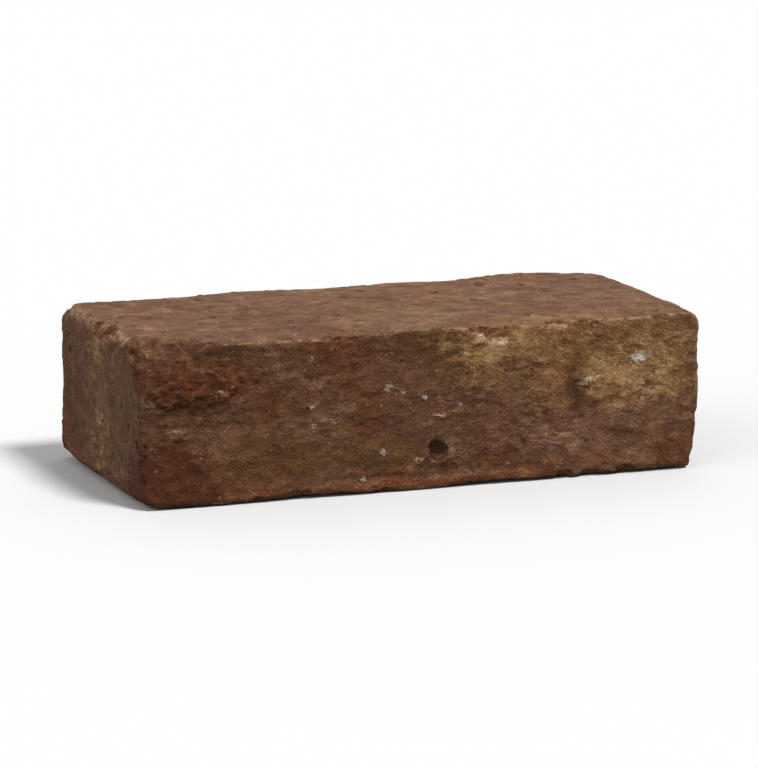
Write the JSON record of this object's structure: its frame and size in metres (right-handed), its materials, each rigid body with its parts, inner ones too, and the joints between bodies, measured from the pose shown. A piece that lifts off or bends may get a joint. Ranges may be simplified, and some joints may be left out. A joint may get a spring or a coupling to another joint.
{
  "type": "brick",
  "caption": "Solid hand-moulded clay facing brick with soft uneven arrises, a sandy folded face and a knocked corner, for laying in masonry courses.",
  "frame": {"origin": "middle of the lower bed, on the surface that the brick lies on", "axes": "+X along the stretcher face to its right end, +Y from the stretcher face to the back, +Z from the lower bed to the upper bed"},
  "size_m": [0.19, 0.09, 0.052],
  "materials": {
    "fired_clay": "matt sandy fired clay"
  },
  "bodies": {
    "root": {"brick": "fired_clay"}
  },
  "joints": []
}
